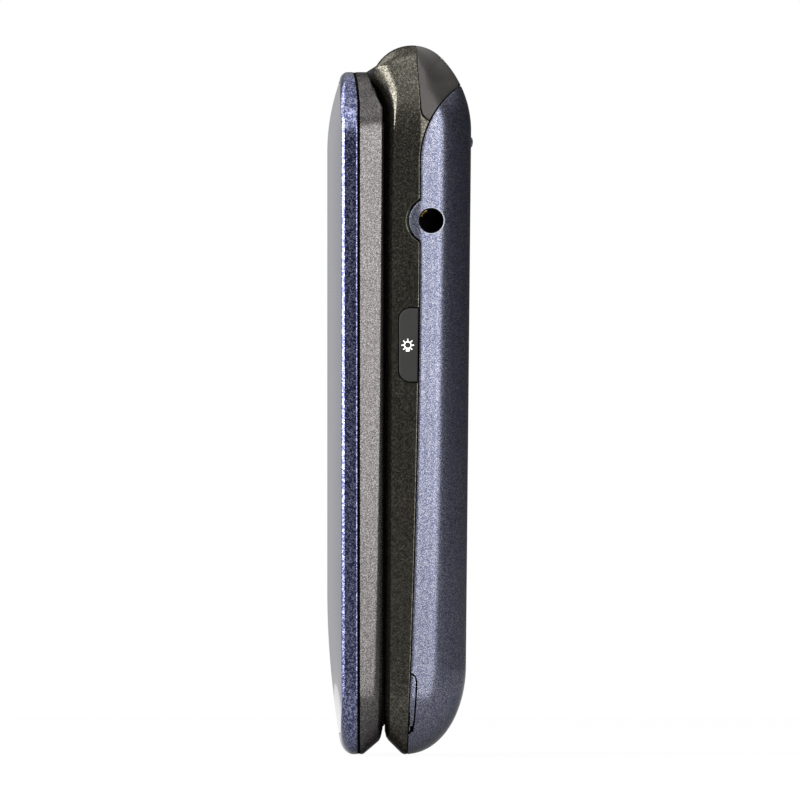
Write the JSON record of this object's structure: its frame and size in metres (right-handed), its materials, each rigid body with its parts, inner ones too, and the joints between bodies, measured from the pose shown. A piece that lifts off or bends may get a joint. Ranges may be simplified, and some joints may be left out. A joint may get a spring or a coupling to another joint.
{
  "type": "flip phone",
  "caption": "Folding mobile phone with a hinged lid, keypad, pull-off rear cover, headphone jack and a torch key on the side.",
  "frame": {"origin": "bottom centre of the closed phone standing on its free end", "axes": "+Z towards the hinge, -Y out of the lid's outer face, +Y out of the back, +X out of the side with the headphone jack"},
  "size_m": [0.0542, 0.0222, 0.108],
  "materials": {
    "blue_paint": "metallic flake paint under a clear coat",
    "lid_gloss": "polished",
    "grey_frame": "satin with a fine metallic grain",
    "cap_grey": "satin",
    "inner_plastic": "matt",
    "key_plastic": "satin with printed signs",
    "clear_lens": "polished",
    "display": "polished",
    "board": "solder mask",
    "bright_metal": "plated",
    "gold": "plated",
    "black_plastic": "matt",
    "rubber": "matt",
    "battery_wrap": "label film",
    "diode": "cast"
  },
  "bodies": {
    "base": {"front_frame": "grey_frame", "top_cap": "cap_grey", "rear_housing": "inner_plastic", "main_board": "board", "shield_cans": "bright_metal", "keypad_mat": "rubber", "key_domes": "gold", "battery": "battery_wrap", "battery_contacts": "gold", "sim_holder": "bright_metal", "card_holder": "bright_metal", "jack_socket": "black_plastic", "usb_socket": "bright_metal", "loudspeaker": "black_plastic", "microphone": "black_plastic", "torch_led": "diode", "torch_lens": "clear_lens", "antenna": "gold", "hinge_can": "bright_metal", "body_screws": "bright_metal", "vibration_motor": "bright_metal", "side_switches": "black_plastic"},
    "lid": {"lid_plate": "lid_gloss", "lid_cover": "blue_paint", "outer_display": "display", "camera_module": "black_plastic", "lid_board": "board", "main_display": "display", "lid_frame": "grey_frame", "display_lens": "clear_lens", "earpiece": "black_plastic", "earpiece_grille": "bright_metal", "lid_bumpers": "rubber", "lid_screws": "bright_metal", "lid_magnet": "bright_metal", "hinge_pin": "bright_metal", "hinge_bush": "bright_metal"},
    "rear_cover": {"rear_cover": "blue_paint"},
    "vibration_weight": {"vibration_weight": "bright_metal"},
    "torch_key": {"torch_key": "grey_frame"},
    "volume_rocker": {"volume_rocker": "grey_frame"},
    "scroll_key": {"scroll_key": "key_plastic"},
    "soft_left": {"soft_left": "key_plastic"},
    "soft_right": {"soft_right": "key_plastic"},
    "call_key": {"call_key": "key_plastic"},
    "end_key": {"end_key": "key_plastic"},
    "key_1": {"key_1": "key_plastic"},
    "key_2": {"key_2": "key_plastic"},
    "key_3": {"key_3": "key_plastic"},
    "key_4": {"key_4": "key_plastic"},
    "key_5": {"key_5": "key_plastic"},
    "key_6": {"key_6": "key_plastic"},
    "key_7": {"key_7": "key_plastic"},
    "key_8": {"key_8": "key_plastic"},
    "key_9": {"key_9": "key_plastic"},
    "key_star": {"key_star": "key_plastic"},
    "key_0": {"key_0": "key_plastic"},
    "key_hash": {"key_hash": "key_plastic"}
  },
  "joints": [
    {"name": "lid_hinge", "type": "hinge", "parent": "base", "child": "lid", "pos_m": [0, 0.00185, 0.10165], "axis": [-1, 0, 0], "range_deg": [0, 150]},
    {"name": "rear_cover_pull", "type": "slide", "parent": "base", "child": "rear_cover", "axis": [0, 1, 0], "range_m": [0, 0.02]},
    {"name": "vibration_spin", "type": "hinge", "parent": "base", "child": "vibration_weight", "pos_m": [-0.0022, 0.00625, 0.0104], "axis": [1, 0, 0], "continuous": true},
    {"name": "torch_key_press", "type": "slide", "parent": "base", "child": "torch_key", "axis": [-1, 0, 0], "range_m": [0, 0.0003], "stiffness_N_per_m": 300, "springref_m": -0.0005},
    {"name": "volume_rock", "type": "hinge", "parent": "base", "child": "volume_rocker", "pos_m": [-0.0247, 0.00128, 0.0624], "axis": [0, 1, 0], "range_deg": [-1, 1], "stiffness_Nm_per_rad": 0.05},
    {"name": "scroll_rock", "type": "hinge", "parent": "base", "child": "scroll_key", "pos_m": [0, -0.00035, 0.0698], "axis": [1, 0, 0], "range_deg": [-1, 1], "stiffness_Nm_per_rad": 0.05},
    {"name": "soft_left_press", "type": "slide", "parent": "base", "child": "soft_left", "axis": [0, 1, 0], "range_m": [0, 0.0003], "stiffness_N_per_m": 300, "springref_m": -0.0005},
    {"name": "soft_right_press", "type": "slide", "parent": "base", "child": "soft_right", "axis": [0, 1, 0], "range_m": [0, 0.0003], "stiffness_N_per_m": 300, "springref_m": -0.0005},
    {"name": "call_key_press", "type": "slide", "parent": "base", "child": "call_key", "axis": [0, 1, 0], "range_m": [0, 0.0003], "stiffness_N_per_m": 300, "springref_m": -0.0005},
    {"name": "end_key_press", "type": "slide", "parent": "base", "child": "end_key", "axis": [0, 1, 0], "range_m": [0, 0.0003], "stiffness_N_per_m": 300, "springref_m": -0.0005},
    {"name": "key_1_press", "type": "slide", "parent": "base", "child": "key_1", "axis": [0, 1, 0], "range_m": [0, 0.0003], "stiffness_N_per_m": 300, "springref_m": -0.0005},
    {"name": "key_2_press", "type": "slide", "parent": "base", "child": "key_2", "axis": [0, 1, 0], "range_m": [0, 0.0003], "stiffness_N_per_m": 300, "springref_m": -0.0005},
    {"name": "key_3_press", "type": "slide", "parent": "base", "child": "key_3", "axis": [0, 1, 0], "range_m": [0, 0.0003], "stiffness_N_per_m": 300, "springref_m": -0.0005},
    {"name": "key_4_press", "type": "slide", "parent": "base", "child": "key_4", "axis": [0, 1, 0], "range_m": [0, 0.0003], "stiffness_N_per_m": 300, "springref_m": -0.0005},
    {"name": "key_5_press", "type": "slide", "parent": "base", "child": "key_5", "axis": [0, 1, 0], "range_m": [0, 0.0003], "stiffness_N_per_m": 300, "springref_m": -0.0005},
    {"name": "key_6_press", "type": "slide", "parent": "base", "child": "key_6", "axis": [0, 1, 0], "range_m": [0, 0.0003], "stiffness_N_per_m": 300, "springref_m": -0.0005},
    {"name": "key_7_press", "type": "slide", "parent": "base", "child": "key_7", "axis": [0, 1, 0], "range_m": [0, 0.0003], "stiffness_N_per_m": 300, "springref_m": -0.0005},
    {"name": "key_8_press", "type": "slide", "parent": "base", "child": "key_8", "axis": [0, 1, 0], "range_m": [0, 0.0003], "stiffness_N_per_m": 300, "springref_m": -0.0005},
    {"name": "key_9_press", "type": "slide", "parent": "base", "child": "key_9", "axis": [0, 1, 0], "range_m": [0, 0.0003], "stiffness_N_per_m": 300, "springref_m": -0.0005},
    {"name": "key_star_press", "type": "slide", "parent": "base", "child": "key_star", "axis": [0, 1, 0], "range_m": [0, 0.0003], "stiffness_N_per_m": 300, "springref_m": -0.0005},
    {"name": "key_0_press", "type": "slide", "parent": "base", "child": "key_0", "axis": [0, 1, 0], "range_m": [0, 0.0003], "stiffness_N_per_m": 300, "springref_m": -0.0005},
    {"name": "key_hash_press", "type": "slide", "parent": "base", "child": "key_hash", "axis": [0, 1, 0], "range_m": [0, 0.0003], "stiffness_N_per_m": 300, "springref_m": -0.0005}
  ]
}
